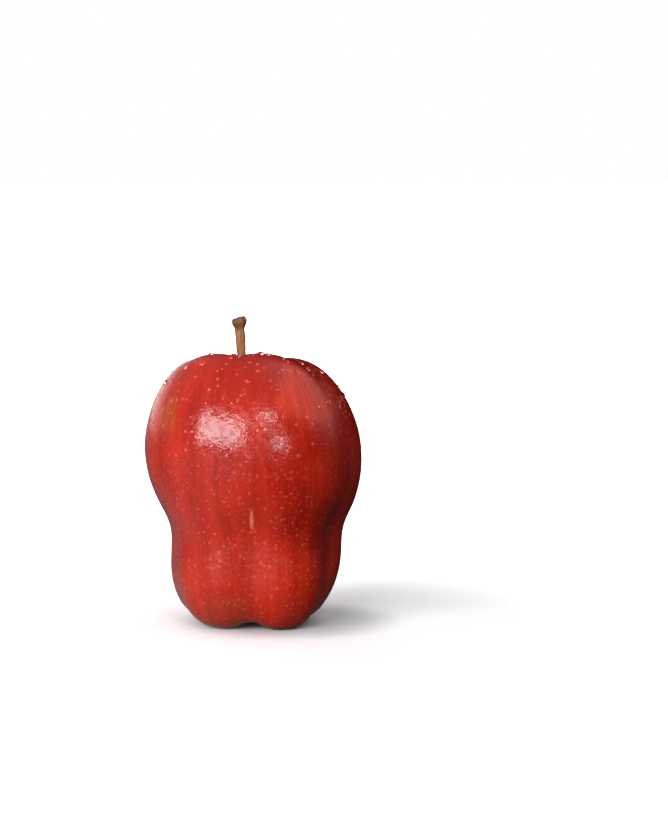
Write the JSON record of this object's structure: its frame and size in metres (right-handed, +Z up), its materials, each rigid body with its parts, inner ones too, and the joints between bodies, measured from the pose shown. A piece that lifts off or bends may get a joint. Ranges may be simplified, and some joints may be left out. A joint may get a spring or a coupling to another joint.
{
  "type": "whole red apple with stem",
  "caption": "Long, five-crowned red apple standing on the knobs at its blossom end, with its woody stem in the upper cavity and a dry calyx in the lower one.",
  "frame": {"origin": "on the surface that the apple stands on, under the middle of its bounding box", "axes": "+Z up along the core from the blossom end to the stem; -Y is the front"},
  "size_m": [0.0718, 0.0714, 0.1014],
  "materials": {
    "skin": "waxy red apple skin, softly glossy, with fine darker streaks and small pale lenticels",
    "stem_wood": "matt olive-brown bark with fine ridges, darker at the knob",
    "dry_sepal": "matt, dry and curled, grey-brown with green left at the root",
    "dry_stamen": "matt, withered, dark brown",
    "water": "clear water drops on the skin, for looks only"
  },
  "bodies": {
    "root": {"fruit": "skin", "stem": "stem_wood", "sepal_1": "dry_sepal", "sepal_2": "dry_sepal", "sepal_3": "dry_sepal", "sepal_4": "dry_sepal", "sepal_5": "dry_sepal", "stamen_tuft": "dry_stamen"}
  },
  "joints": []
}
